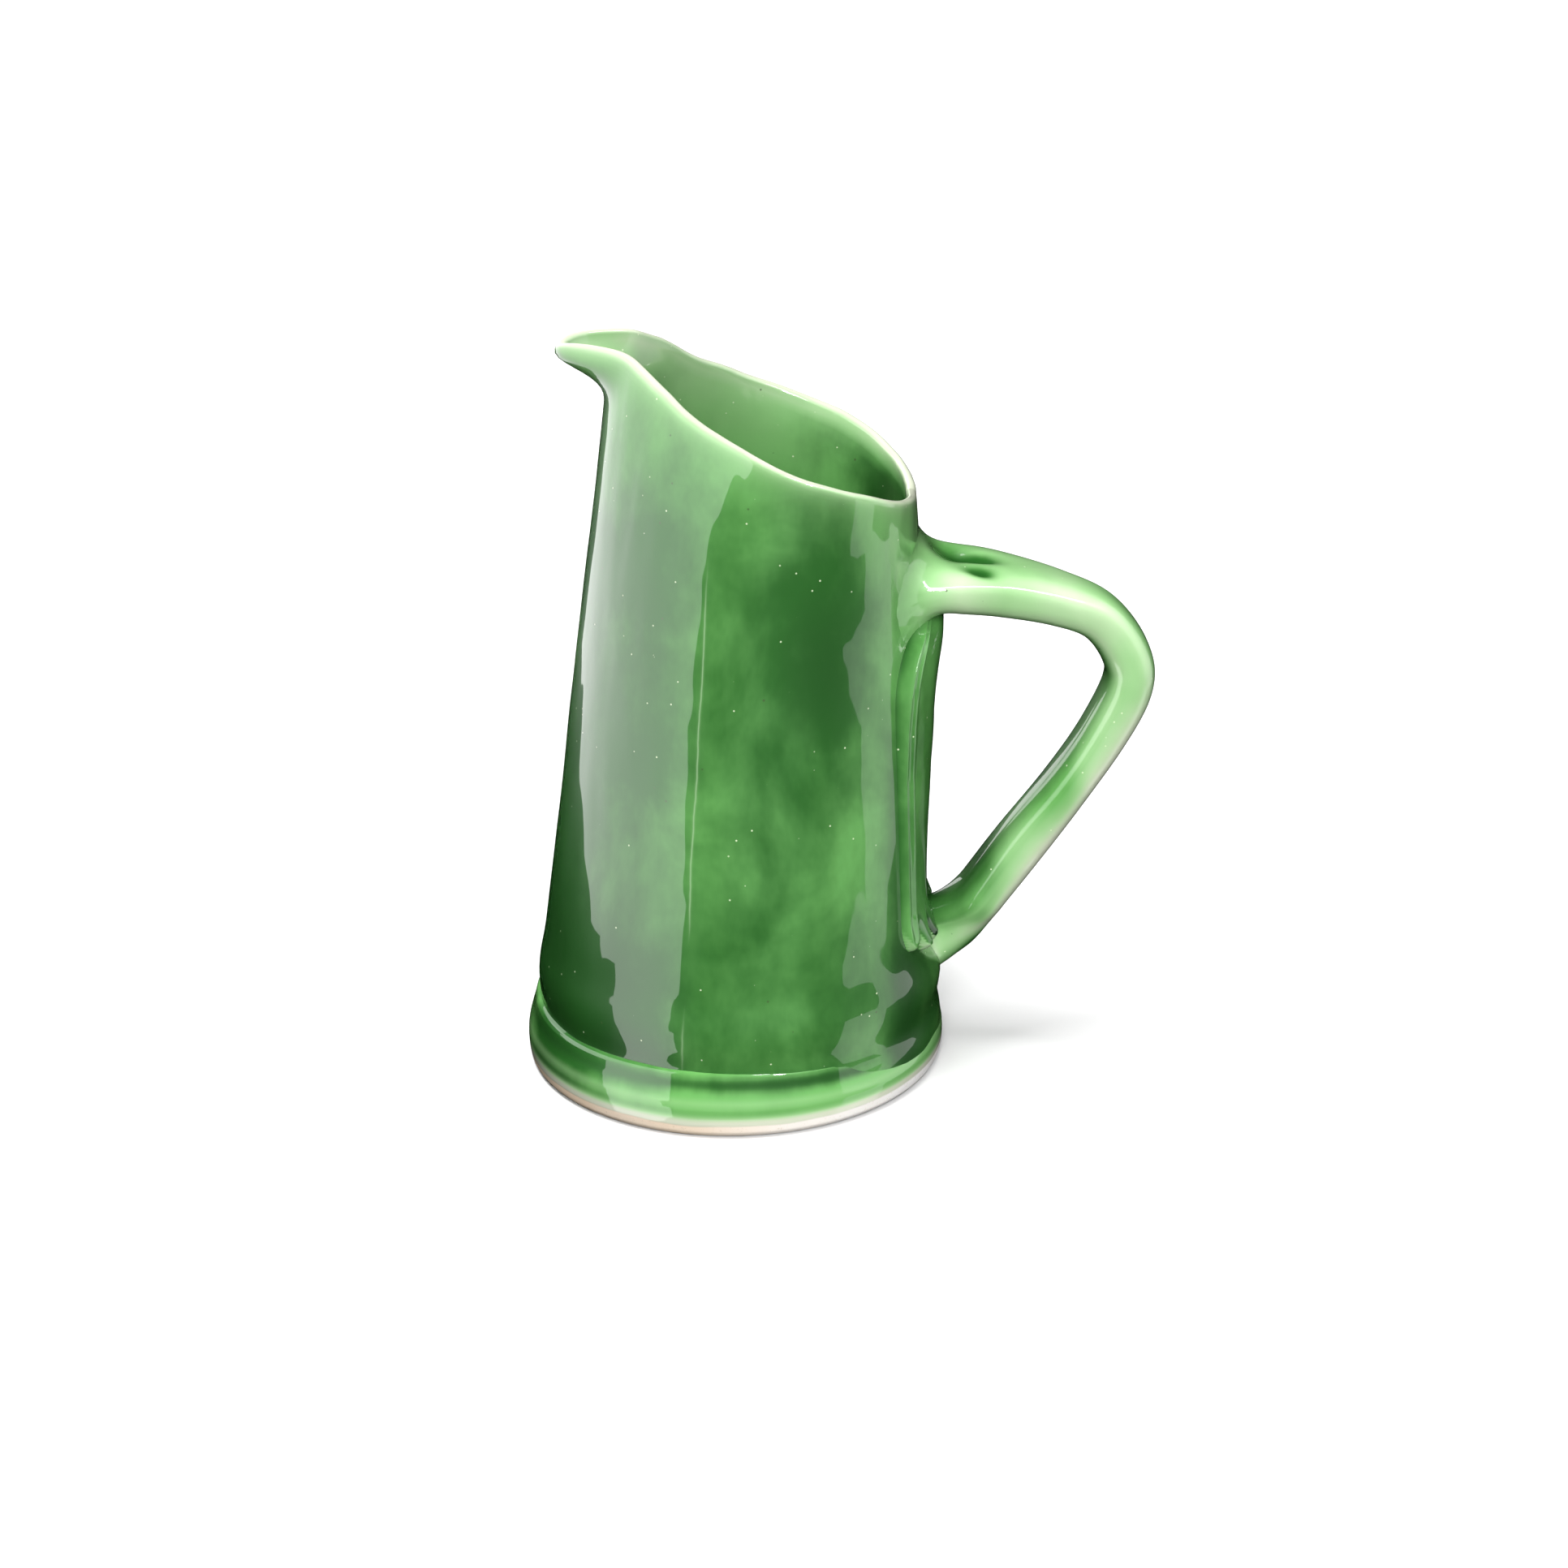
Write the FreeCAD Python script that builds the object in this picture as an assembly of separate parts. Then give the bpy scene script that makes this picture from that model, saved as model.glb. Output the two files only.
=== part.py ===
import FreeCAD, Part
import math
import os

from FreeCAD import Vector

# A slab-built ceramic pitcher: a rolled wall slab that leans and narrows upward, with a beak pulled
# out of its sloping rim, stands in a base slab whose edge is turned up as a collar.  A thick strap
# makes a three-cornered handle.  Millimetres, +Z up, the handle toward +X and the spout toward -X.
# The origin is the centre of the foot, on the surface that the pitcher stands on.

# Driving dimensions
body_height = 192.0        # floor to the highest point of the lip
foot_radius = 55.5         # collar of the base slab
wall_thickness = 3.2       # rolled wall slab
floor_thickness = 4.6      # base slab under the wall
collar_height = 12.5       # top edge of the turned-up collar
glaze_thickness = 0.4      # fired glaze film
handle_reach = 51.5        # wall face to the middle of the strap at the outer bend
strap_width = 18.0         # handle strap across, at its slimmest
strap_thickness = 12.4     # handle strap through, at its slimmest
leg_thickness = 2.6        # flattened leg of the handle on the wall
coil_size = 6.5            # clay coil that rounds the inside corner

# The wall follows from them
wall_foot_radius = foot_radius - 0.4
mouth_radius = 0.665 * foot_radius
lean_shift = 0.047 * body_height
foot_shift = 0.3
groove_depth = 0.9
bare_clay_height = 4.4
beak_reach = 0.21 * foot_radius
beak_half_angle = 11.5     # degrees
throat_height = 0.917 * body_height
tip_height = 0.99 * body_height
leg_half_angle = 24.0      # degrees that the leg on the wall spreads either way

points_per_half = 18       # points on each half of a wall section

# Side view of the rim: how far along (of the foot radius) and how high (of the body height)
rim_side = [(-0.90, 0.974), (-0.71, 0.990), (-0.54, 1.000), (-0.34, 0.982), (-0.09, 0.931),
            (0.20, 0.891), (0.52, 0.854), (0.856, 0.800), (1.08, 0.755)]

# Middle line of the handle: how far out from the wall (of the reach), how high (of the body
# height), and how much wider and thicker than at its slimmest the strap is there
handle_line = [(-0.10, 0.672, 2.05, 2.10), (0.15, 0.677, 1.75, 1.55), (0.385, 0.667, 1.42, 1.20),
               (0.652, 0.648, 1.14, 1.06), (0.862, 0.622, 1.03, 1.00), (0.988, 0.573, 1.00, 1.00),
               (1.000, 0.526, 1.00, 1.00), (0.870, 0.456, 1.00, 1.00), (0.662, 0.375, 1.00, 1.02),
               (0.414, 0.289, 1.03, 1.05), (0.186, 0.211, 1.10, 1.14), (-0.01, 0.154, 1.35, 1.30),
               (-0.16, 0.115, 1.50, 1.40)]


def ease(value):
    """Smooth step from 0 to 1."""
    value = min(max(value, 0.0), 1.0)
    return value * value * (3.0 - 2.0 * value)


def centre_x(z):
    return foot_shift + lean_shift * z / body_height


def plain_radius(z):
    return wall_foot_radius + (mouth_radius - wall_foot_radius) * z / body_height


rim_curve = Part.BSplineCurve()
rim_curve.interpolate([Vector(foot_radius * along, 0, body_height * up) for along, up in rim_side])


def rim_height(angle):
    """Height of the rim over the wall at an angle from the handle side, found by halving."""
    x = centre_x(0.87 * body_height) + mouth_radius * math.cos(angle)
    low, high = rim_curve.FirstParameter, rim_curve.LastParameter
    for halving in range(30):
        middle = (low + high) / 2
        if rim_curve.value(middle).x < x:
            low = middle
        else:
            high = middle
    return rim_curve.value(low).z


rim_heights = [rim_height(math.radians(degree)) for degree in range(181)]


def wall_radius(degrees, z):
    """Outer radius of the wall slab, degrees counted from the spout."""
    from_handle = 180.0 - abs(degrees)
    angle = math.radians(from_handle)
    radius = plain_radius(z)
    climb = ease((z / rim_heights[int(round(from_handle))] - 0.5) / 0.5)
    teardrop = (0.015 + 0.09 * math.cos(angle) - 0.018 * math.cos(2 * angle)
                - 0.10 * math.cos(3 * angle))
    radius *= 1.0 + climb * teardrop
    rise = max(z - throat_height, 0.0) / (tip_height - throat_height)
    radius += beak_reach * math.exp(-(degrees / beak_half_angle) ** 2) * ease(rise ** 1.7)
    radius -= groove_depth * math.exp(-((z - 0.8 * collar_height) / (0.4 * collar_height)) ** 2)
    pressed = ease((0.5 - z / body_height) / 0.25) * ease((z / body_height - 0.1) / 0.1)
    return radius - 1.6 * leg_thickness * pressed * math.exp(-(from_handle / 22.0) ** 2)


def cavity_radius(degrees, z):
    """Inner radius of the wall slab."""
    beak = math.exp(-(degrees / beak_half_angle) ** 2)
    return wall_radius(degrees, z) - wall_thickness * (1.0 + 0.4 * beak)


def lined_cavity_radius(degrees, z):
    """Inner radius over the coil that rounds the corner of wall and floor."""
    drop = min(max((floor_thickness + coil_size - z) / coil_size, 0.0), 0.98)
    return cavity_radius(degrees, z) - coil_size * (1.0 - math.sqrt(1.0 - drop ** 2))


def film_cavity_radius(degrees, z):
    """Inner radius over the glaze film inside the pitcher."""
    return lined_cavity_radius(degrees, z - glaze_thickness) - glaze_thickness


def collar_radius(degrees, z):
    """Outer radius of the base slab, which dips below the wall face above the collar."""
    round_edge = 0.8 * ease(1.0 - z / (0.25 * collar_height))
    fade = ease((1.15 * collar_height - z) / (0.5 * collar_height))
    foot = foot_radius - round_edge + centre_x(z) * math.cos(math.radians(degrees))
    wall = wall_radius(degrees, z) - 0.2
    return wall + (foot - wall) * fade


def skin_radius(degrees, z):
    """Outer radius of the clay, over collar and wall."""
    return max(collar_radius(degrees, z), wall_radius(degrees, z))


def leg_radius(degrees, z):
    """Outer radius of the handle leg on the wall, which dips below the wall outside the leg."""
    from_handle = (180.0 - abs(degrees)) / leg_half_angle
    up = z / body_height
    proud = leg_thickness * (1.0 + 1.2 * ease((up - 0.45) / 0.2))
    return wall_radius(degrees, z) + (proud + 0.5) * ease(2.4 * (1.15 - from_handle)) - 0.5


def closed_wire(points, marks):
    """Smooth closed wire through points, one parameter mark per point and one for the return."""
    curve = Part.BSplineCurve()
    curve.interpolate(Points=points, PeriodicFlag=True, Parameters=marks)
    return Part.Wire([curve.toShape()])


def around(radius_at, z, extra=0.0):
    """Closed section of the leaning body at one height, its points closest at the spout."""
    points = []
    half = points_per_half
    spread = [math.copysign(abs(step / half) ** 1.6, step) for step in range(-half, half + 1)]
    for part_turn in spread[:-1]:
        angle = math.pi * (1.0 - part_turn)
        radius = radius_at(180.0 * part_turn, z) + extra
        points.append(Vector(centre_x(z) + radius * math.cos(angle), -radius * math.sin(angle), z))
    return closed_wire(points, spread)


def body_between(radius_at, heights, extra=0.0):
    return Part.makeLoft([around(radius_at, z, extra) for z in heights], True, False)


def heights_from(start, stop):
    """Section heights: close together at the foot and at the spout, wide apart between."""
    marks = [0.0, 2.2, 4.4, floor_thickness, 6.6, 8.8, 10.8, collar_height, 14.2, 17.0, 22.0, 32.0]
    marks = [mark * collar_height / 12.5 for mark in marks]
    marks += [body_height * part for part in (0.24, 0.33, 0.42, 0.52, 0.62, 0.72, 0.80, 0.86,
                                              0.90, 0.93, 0.95, 0.97, 0.99, 1.01, 1.05)]
    inside = [mark for mark in marks if start + 0.5 < mark < stop - 0.5]
    return [start] + inside + [stop]


def handle_point(out, up):
    z = up * body_height
    return Vector(centre_x(z) + plain_radius(z) + out * handle_reach, 0, z)


handle_curve = Part.BSplineCurve()
handle_curve.interpolate([handle_point(out, up) for out, up, wide, thick in handle_line])


def oval(middle, along, half_width, half_thickness):
    """Oval section of the strap, across Y, at right angles to its middle line."""
    outward = Vector(along.z, 0, -along.x).normalize()
    points = []
    for step in range(16):
        turn = 2.0 * math.pi * step / 16
        points.append(middle + Vector(0, half_width * math.cos(turn), 0)
                      + outward * (half_thickness * math.sin(turn)))
    return closed_wire(points, [step / 16 for step in range(17)])


def strap_solid(extra=0.0, first=0, last=None):
    wires = []
    for out, up, wide, thick in handle_line[first:last]:
        middle = handle_point(out, up)
        along = handle_curve.tangent(handle_curve.parameter(middle))[0]
        wires.append(oval(middle, along, wide * strap_width / 2 + extra,
                          thick * strap_thickness / 2 + extra))
    return Part.makeLoft(wires, True, False)


def root_solid(stations):
    """Clay pressed round the strap at a root: (out, up, times wider, times thicker) sections."""
    wires = []
    line = [handle_point(out, up) for out, up, wide, thick in stations]
    for place, (out, up, wide, thick) in enumerate(stations):
        along = line[min(place + 1, len(line) - 1)] - line[max(place - 1, 0)]
        wires.append(oval(line[place], along, wide * strap_width / 2, thick * strap_thickness / 2))
    return Part.makeLoft(wires, True, False)


def export(shape, name):
    solids = shape.Solids
    solid = solids[0] if len(solids) == 1 else max(solids, key=lambda one: one.Volume)
    box = solid.BoundBox
    print("%-18s valid %s solids %d volume %.0f  x %.1f..%.1f y %.1f..%.1f z %.1f..%.1f" % (
        name, solid.isValid(), len(solids), solid.Volume, box.XMin, box.XMax, box.YMin, box.YMax,
        box.ZMin, box.ZMax))
    solid.exportStep("parts/%s.step" % name)


os.makedirs("parts", exist_ok=True)

top = 1.05 * body_height

# Everything above the sloping rim, to cut the wall and its glaze to the lip line
edge = rim_curve.toShape()
start, end = rim_curve.StartPoint, rim_curve.EndPoint
corners = [end, Vector(end.x, 0, 1.4 * body_height), Vector(start.x, 0, 1.4 * body_height), start]
lid = Part.Face(Part.Wire([edge] + [Part.makeLine(a, b) for a, b in zip(corners, corners[1:])]))
lid.translate(Vector(0, -1.5 * foot_radius, 0))
above_rim = lid.extrude(Vector(0, 3.0 * foot_radius, 0))

# Wall slab with the pulled beak
filled_wall = body_between(wall_radius, heights_from(floor_thickness, top))
wall_cavity = body_between(cavity_radius, heights_from(floor_thickness, top))
wall_slab = filled_wall.cut(wall_cavity).cut(above_rim)

# Base slab with its edge turned up outside the wall
base_blank = body_between(collar_radius, heights_from(0.0, 1.2 * collar_height))
base_slab = base_blank.cut(filled_wall)

# Coil pressed into the corner of wall and floor
coil_top = floor_thickness + coil_size
coil_heights = [floor_thickness + coil_size * part for part in (0, 0.1, 0.25, 0.45, 0.7, 1.0)]
lined = body_between(lined_cavity_radius, coil_heights)
corner = body_between(cavity_radius, heights_from(floor_thickness, coil_top))
floor_seam_coil = corner.cut(lined)

# Handle strap, and its flattened leg on the wall between the roots
handle_strap = strap_solid().cut(filled_wall)
leg_heights = [body_height * part for part in (0.13, 0.17, 0.23, 0.31, 0.40, 0.49, 0.57, 0.65)]
leg = body_between(leg_radius, leg_heights)
handle_leg = leg.cut(filled_wall).cut(handle_strap)

# Clay thumbed round the strap at its roots
upper_root = root_solid([(-0.12, 0.667, 2.80, 3.40), (0.02, 0.671, 2.22, 2.50),
                         (0.12, 0.676, 1.88, 1.82), (0.22, 0.675, 1.71, 1.53)])
upper_root_clay = upper_root.cut(filled_wall).cut(handle_strap).cut(handle_leg)
lower_root = root_solid([(0.24, 0.229, 1.16, 1.23), (0.14, 0.197, 1.36, 1.52),
                         (0.02, 0.163, 1.72, 1.94), (-0.14, 0.118, 2.00, 2.26)])
lower_root_clay = lower_root.cut(filled_wall).cut(handle_strap).cut(handle_leg)

# Glaze films
clay_on_wall = [handle_strap, handle_leg, upper_root_clay, lower_root_clay]
outer_glaze = body_between(skin_radius, heights_from(bare_clay_height, top), glaze_thickness)
outer_glaze = outer_glaze.cut(base_slab).cut(filled_wall).cut(above_rim)
for piece in clay_on_wall:
    outer_glaze = outer_glaze.cut(piece)

above_coil = heights_from(coil_top, top)
wall_film = body_between(cavity_radius, above_coil)
wall_film = wall_film.cut(body_between(cavity_radius, above_coil, -glaze_thickness)).cut(above_rim)
floor_film = lined.cut(body_between(film_cavity_radius, [z + glaze_thickness for z in coil_heights]))
inner_glaze = wall_film.fuse(floor_film)

handle_glaze = strap_solid(glaze_thickness).cut(handle_strap)
for piece in (filled_wall, handle_leg, upper_root_clay, lower_root_clay, outer_glaze):
    handle_glaze = handle_glaze.cut(piece)

export(wall_slab, "wall_slab")
export(base_slab, "base_slab")
export(floor_seam_coil, "floor_seam_coil")
export(handle_strap, "handle_strap")
export(handle_leg, "handle_leg")
export(upper_root_clay, "upper_root_clay")
export(lower_root_clay, "lower_root_clay")
export(outer_glaze, "outer_glaze")
export(inner_glaze, "inner_glaze")
export(handle_glaze, "handle_glaze")
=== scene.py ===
import math

import bmesh
import bpy
import numpy as np
from mathutils import Matrix, Vector
from mathutils.bvhtree import BVHTree


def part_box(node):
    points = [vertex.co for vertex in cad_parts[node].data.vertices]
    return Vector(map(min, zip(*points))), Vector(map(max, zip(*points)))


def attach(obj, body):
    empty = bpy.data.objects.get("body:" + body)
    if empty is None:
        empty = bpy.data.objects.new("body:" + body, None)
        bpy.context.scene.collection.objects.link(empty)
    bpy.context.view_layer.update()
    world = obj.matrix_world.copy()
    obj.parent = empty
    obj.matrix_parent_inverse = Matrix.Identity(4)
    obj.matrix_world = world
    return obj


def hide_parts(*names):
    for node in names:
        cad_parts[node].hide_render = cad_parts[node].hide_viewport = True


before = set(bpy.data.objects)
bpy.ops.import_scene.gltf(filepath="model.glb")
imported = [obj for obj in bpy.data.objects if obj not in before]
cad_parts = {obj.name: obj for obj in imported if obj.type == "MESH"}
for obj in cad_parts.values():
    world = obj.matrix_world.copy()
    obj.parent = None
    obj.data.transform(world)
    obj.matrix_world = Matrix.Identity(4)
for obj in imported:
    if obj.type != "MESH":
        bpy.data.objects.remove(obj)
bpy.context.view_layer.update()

# ---------------------------------------------------------------------------------------------
# Wall.  One slab of clay, rolled and closed to a tube that leans and narrows upward, cut to a
# sloping rim, with a beak spout pulled from it by hand.  Glaze covers it inside and out.
# ---------------------------------------------------------------------------------------------


class Field:
    """A number socket that takes plain arithmetic, in a shader or in a geometry tree."""

    def __init__(self, tree, socket):
        self.tree = tree
        self.socket = socket

    def math(self, operation, *others):
        step = self.tree.nodes.new("ShaderNodeMath")
        step.operation = operation
        for place, value in enumerate((self,) + others):
            feed(self.tree, value, step.inputs[place])
        return Field(self.tree, step.outputs[0])

    def __add__(self, other):
        return self.math("ADD", other)

    def __radd__(self, other):
        return self.math("ADD", other)

    def __sub__(self, other):
        return self.math("SUBTRACT", other)

    def __rsub__(self, other):
        return Field.value(self.tree, other).math("SUBTRACT", self)

    def __mul__(self, other):
        return self.math("MULTIPLY", other)

    def __rmul__(self, other):
        return self.math("MULTIPLY", other)

    def __truediv__(self, other):
        return self.math("DIVIDE", other)

    def __rtruediv__(self, other):
        return Field.value(self.tree, other).math("DIVIDE", self)

    def __pow__(self, other):
        return self.math("POWER", other)

    def __neg__(self):
        return self.math("MULTIPLY", -1.0)

    def held(self, low, high):
        return self.math("MAXIMUM", low).math("MINIMUM", high)

    def ease(self, low=0.0, high=1.0):
        """Smooth step from 0 at low to 1 at high."""
        part = ((self - low) / (high - low)).held(0.0, 1.0)
        return part * part * (3.0 - 2.0 * part)

    def past(self, limit, before, after):
        """The value `before` up to a limit, and `after` beyond it."""
        over = self.math("GREATER_THAN", limit)
        return before * (1.0 - over) + after * over

    def hump(self, middle, width):
        """A smooth hump of height 1 about a middle."""
        away = (self - middle) / width
        return (-(away * away)).math("EXPONENT")

    @staticmethod
    def value(tree, number):
        node = tree.nodes.new("ShaderNodeValue")
        node.outputs[0].default_value = number
        return Field(tree, node.outputs[0])


def feed(tree, value, socket):
    """Gives a socket a link or a plain value."""
    if isinstance(value, Field):
        tree.links.new(value.socket, socket)
    elif hasattr(value, "is_output"):
        tree.links.new(value, socket)
    else:
        socket.default_value = value


def add_node(tree, kind, settings=None, **inputs):
    """Any node: its type, its settings, and a value or a link for each named input."""
    node = tree.nodes.new(kind)
    for name, value in (settings or {}).items():
        setattr(node, name, value)
    for name, value in inputs.items():
        feed(tree, value, node.inputs[name.replace("_", " ")])
    return node


def named_inputs(tree, sizes):
    """Gives a geometry tree one named input for each size, and its output."""
    for name, number in sizes.items():
        kind = "NodeSocketInt" if isinstance(number, int) else "NodeSocketFloat"
        socket = tree.interface.new_socket(name, in_out="INPUT", socket_type=kind)
        socket.default_value = number
    tree.interface.new_socket("Geometry", in_out="OUTPUT", socket_type="NodeSocketGeometry")
    return tree.nodes.new("NodeGroupInput")


def make_piece(name, tree, sizes):
    """Runs a geometry tree on an empty mesh and returns the result as a plain mesh object."""
    seed = bpy.data.objects.new(name + "_seed", bpy.data.meshes.new(name + "_seed"))
    bpy.context.collection.objects.link(seed)
    modifier = seed.modifiers.new("shape", "NODES")
    modifier.node_group = tree
    for item in tree.interface.items_tree:
        if item.in_out == "INPUT":
            modifier[item.identifier] = sizes[item.name]
    shown = seed.evaluated_get(bpy.context.evaluated_depsgraph_get())
    mesh = bpy.data.meshes.new_from_object(shown)
    mesh.name = name
    piece = bpy.data.objects.new(name, mesh)
    bpy.context.collection.objects.link(piece)
    bpy.data.objects.remove(seed)
    return piece


foot_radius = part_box("base_slab")[1].x
body_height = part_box("outer_glaze")[1].z
lean = 0.047  # how far the wall leans toward the handle, as a share of its height
wall_sizes = {
    "Foot radius": foot_radius - 0.0004,
    "Mouth radius": 0.665 * foot_radius,
    "Body height": body_height - 0.0003,
    "Lean": lean * body_height,
    "Wall start": 0.0046,
    "Wall thickness": 0.0036,
    "Lip roundness": 0.00135,
    "Floor height": 0.0050,
    "Corner coil": 0.0065,
    "Beak reach": 0.238 * foot_radius,
    "Beak half degrees": 14.5,
    "Hollow by handle": 0.0042,
    "Groove over foot": 0.0007,
    "Swell over groove": 0.0006,
    "Hand waves": 0.0007,
    "Points around": 420,
    "Points up": 236,
    "Seed": 4.0,
}

tree = bpy.data.node_groups.new("wall_shape", "GeometryNodeTree")
inputs = named_inputs(tree, wall_sizes)
size = {name: Field(tree, inputs.outputs[name]) for name in wall_sizes}
grid = add_node(tree, "GeometryNodeMeshGrid", Size_X=1.0, Size_Y=1.0,
                Vertices_X=inputs.outputs["Points around"], Vertices_Y=inputs.outputs["Points up"])
position = add_node(tree, "GeometryNodeInputPosition").outputs[0]
place = add_node(tree, "ShaderNodeSeparateXYZ", Vector=position)
turn = Field(tree, place.outputs["X"]) * (2.0 * math.pi)
climb = Field(tree, place.outputs["Y"]) + 0.5

# The rim over each direction, from the spout round to the handle
rim_curve = add_node(tree, "ShaderNodeFloatCurve", Value=turn.math("ABSOLUTE") / math.pi)
rim_points = [(0.0, 0.993), (0.040, 1.001), (0.083, 1.0), (0.167, 0.987), (0.25, 0.966), (0.333, 0.940),
              (0.417, 0.919), (0.5, 0.897), (0.667, 0.851), (0.833, 0.813), (1.0, 0.797)]
rim_curve.mapping.use_clip = False
curve = rim_curve.mapping.curves[0]
curve.points[0].location = rim_points[0]
curve.points[1].location = rim_points[-1]
for along, up in rim_points[1:-1]:
    curve.points.new(along, up)
rim_curve.mapping.update()
around = add_node(tree, "ShaderNodeCombineXYZ", X=turn.math("COSINE"), Y=turn.math("SINE"), Z=0.0)
rim_wave = add_node(tree, "ShaderNodeTexNoise", {"noise_dimensions": "4D"}, Vector=around.outputs[0],
                    W=size["Seed"], Scale=2.2, Detail=1.0)
rim = (Field(tree, rim_curve.outputs[0]) * size["Body height"]
       + (Field(tree, rim_wave.outputs[0]) - 0.5) * 0.0018 + 0.0008)

# One line of points runs from under the floor, up the outside, over the lip, down inside
under, outside, lip, inside = 0.02, 0.62, 0.67, 0.95
start = size["Wall start"]
lip_radius = size["Lip roundness"]
shoulder = rim - lip_radius
rise = ((climb - under) / (outside - under)).held(0.0, 1.0)
over = ((climb - outside) / (lip - outside)).held(0.0, 1.0) * math.pi
fall = ((climb - lip) / (inside - lip)).held(0.0, 1.0)
height = climb.past(outside, start + rise * (shoulder - start), shoulder + lip_radius * over.math("SINE"))
height = climb.past(lip, height, shoulder + fall * (size["Floor height"] - shoulder))
deeper = ((size["Floor height"] + size["Corner coil"] - height) / size["Corner coil"]).held(0.0, 1.0)
round_corner = size["Corner coil"] * (1.0 - (1.0 - deeper * deeper).math("SQRT"))
full_wall = (rim - height).ease(0.001, 0.012)
thickening = (lip_radius * 2.0) + (size["Wall thickness"] - lip_radius * 2.0) * full_wall
inset = climb.past(outside, 0.0, lip_radius * (1.0 - over.math("COSINE")))
inset = climb.past(lip, inset, thickening + round_corner)
shrink = (climb / under).held(0.0, 1.0) * ((1.0 - climb) / (1.0 - inside)).held(0.0, 1.0)

# Outer radius: a tapering circle that turns to a rounded teardrop toward the rim
degrees = turn.math("ABSOLUTE") * (180.0 / math.pi)
from_handle = 180.0 - degrees
part_up = height / size["Body height"]
radius = size["Foot radius"] + (size["Mouth radius"] - size["Foot radius"]) * part_up
teardrop = (0.015 - 0.09 * turn.math("COSINE") - 0.018 * (turn * 2.0).math("COSINE")
            + 0.10 * (turn * 3.0).math("COSINE"))
radius = radius * (1.0 + (height / rim) ** 9.0 * teardrop * 0.78)
pull = ((part_up - 0.917) / (0.99 - 0.917)).held(0.0, 1.0) ** 1.7
beak = (-((degrees / size["Beak half degrees"]) ** 2.4)).math("EXPONENT")
radius = radius + size["Beak reach"] * beak * pull.ease()
pressed = (0.5 - part_up).ease(0.0, 0.25) * (part_up - 0.118).ease(0.0, 0.075)
radius = radius - size["Hollow by handle"] * pressed * from_handle.hump(0.0, 22.0)
radius = radius - size["Groove over foot"] * height.hump(0.0165, 0.0040)
radius = radius + size["Swell over groove"] * height.hump(0.0270, 0.0060)

# Hand waves: low swells left by rolling and pressing the slab, longer up the wall than round it
wave_place = add_node(tree, "ShaderNodeCombineXYZ", X=turn.math("COSINE"), Y=turn.math("SINE"),
                      Z=part_up * 1.5)
swell = add_node(tree, "ShaderNodeTexNoise", {"noise_dimensions": "4D"}, Vector=wave_place.outputs[0],
                 W=size["Seed"] + 3.0, Scale=1.9, Detail=2.0, Roughness=0.35)
ripple = add_node(tree, "ShaderNodeTexNoise", {"noise_dimensions": "4D"}, Vector=wave_place.outputs[0],
                  W=size["Seed"] + 9.0, Scale=7.0, Detail=1.0, Roughness=0.3)
waves = (Field(tree, swell.outputs[0]) - 0.5) * 2.0 + (Field(tree, ripple.outputs[0]) - 0.5) * 0.40
radius = radius + (waves - 0.15) * size["Hand waves"]
radius = (radius - inset) * shrink

centre = 0.0003 + size["Lean"] * part_up
spot = add_node(tree, "ShaderNodeCombineXYZ", X=centre - radius * turn.math("COSINE"),
                Y=radius * turn.math("SINE") * -1.0, Z=height)

# Where the glaze runs thin (lip, beside the handle) and where it pools (patches, foot, inside corner),
# with painted light and painted shade laid into the same numbers
below = rim - height
within = climb.past(lip, 0.0, 1.0)
lip_pale = (-(below / 0.0013)).math("EXPONENT") * 0.62 + (-(below / 0.015)).math("EXPONENT") * 0.33
# Inside: thin glaze on the lip, then a painted lit band fading down from the rim, with painted shade on
# the handle side
inner_thin_and_lit = (-(below / 0.0013)).math("EXPONENT") * 0.5 + (-(below / 0.030)).math("EXPONENT") * 0.62
by_handle = from_handle.hump(0.0, 36.0) * height.hump(0.130, 0.030) * 0.30
handle_shade = 1.0 - 0.92 * from_handle.hump(0.0, 78.0) * below.ease(0.0005, 0.006)
pale = (lip_pale + by_handle) * (1.0 - within) + inner_thin_and_lit * within * handle_shade
near_side = turn.math("GREATER_THAN", 0.0)
# Darker beside the leg and low by the handle: pooled glaze in the crease and painted shade under the
# handle
by_leg_pool_and_shade = from_handle.hump(37.0, 7.0) * (0.125 - height).ease(0.0, 0.035)
by_leg_pool_and_shade = by_leg_pool_and_shade + from_handle.hump(28.0, 15.0) * (0.060 - height).ease(0.0, 0.030) * 0.8
# Painted shade and dark reflection down the near side below the beak
under_beak_shade = degrees.hump(20.0, 17.0) * (0.85 - part_up).ease(0.0, 0.25)
# Patches of pooled glaze, with painted shade mixed in: toward the handle on the near side, low on the
# spout side, beside the leg and below the beak
patches_and_shade = ((degrees.hump(114.0, 22.0) * height.hump(0.120, 0.030) * 0.80
            + degrees.hump(55.0, 15.0) * 0.32 + degrees.hump(118.0, 26.0) * 0.16
            + by_leg_pool_and_shade * 0.45 + under_beak_shade * 0.30) * near_side
           + degrees.hump(30.0, 50.0) * (1.0 - part_up).ease(0.0, 0.35) * 0.50
           + (0.075 - height).ease(0.0, 0.045) * 0.40)
foot_ring = height.hump(0.0150, 0.0022) * (0.55 + 0.45 * (turn + 0.9).math("COSINE"))
wall_pool_and_shade = patches_and_shade * (1.0 - within) + foot_ring
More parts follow.
